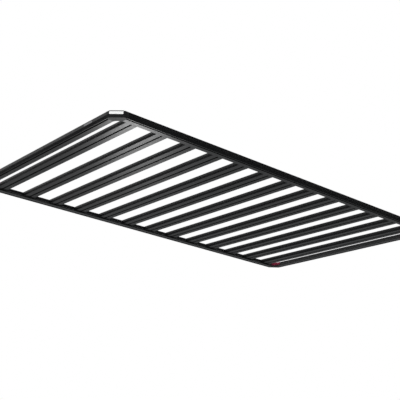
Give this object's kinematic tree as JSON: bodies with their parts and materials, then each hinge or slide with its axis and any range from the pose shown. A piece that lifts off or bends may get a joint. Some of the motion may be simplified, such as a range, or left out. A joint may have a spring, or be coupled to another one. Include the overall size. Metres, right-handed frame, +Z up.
{
  "type": "flat platform roof rack",
  "caption": "Flat platform roof rack: black powder-coated aluminium perimeter rails with cast chamfered corners and slotted cross slats for tying down and bolting on cargo.",
  "frame": {"origin": "under the middle of the rack, on the plane of the rails' underside", "axes": "X along the vehicle with the front end at +X, Y across it to the left, Z up"},
  "size_m": [2.57, 1.475, 0.035],
  "materials": {
    "rail_coat": "satin black powder coat on aluminium extrusion",
    "corner_coat": "satin black powder coat on an aluminium casting",
    "slat_coat": "satin black powder coat on aluminium extrusion",
    "screw_steel": "blackened stainless steel screws",
    "bare_plate": "bare plate, white",
    "red_plug": "dark red moulded plastic"
  },
  "bodies": {
    "root": {"right_rail": "rail_coat", "left_rail": "rail_coat", "rear_rail": "rail_coat", "front_rail": "rail_coat", "rear_right_corner": "corner_coat", "rear_left_corner": "corner_coat", "front_right_corner": "corner_coat", "front_left_corner": "corner_coat", "slat_01": "slat_coat", "slat_02": "slat_coat", "slat_03": "slat_coat", "slat_04": "slat_coat", "slat_05": "slat_coat", "slat_06": "slat_coat", "slat_07": "slat_coat", "slat_08": "slat_coat", "slat_09": "slat_coat", "slat_10": "slat_coat", "slat_11": "slat_coat", "slat_12": "slat_coat", "slat_13": "slat_coat"}
  },
  "joints": []
}
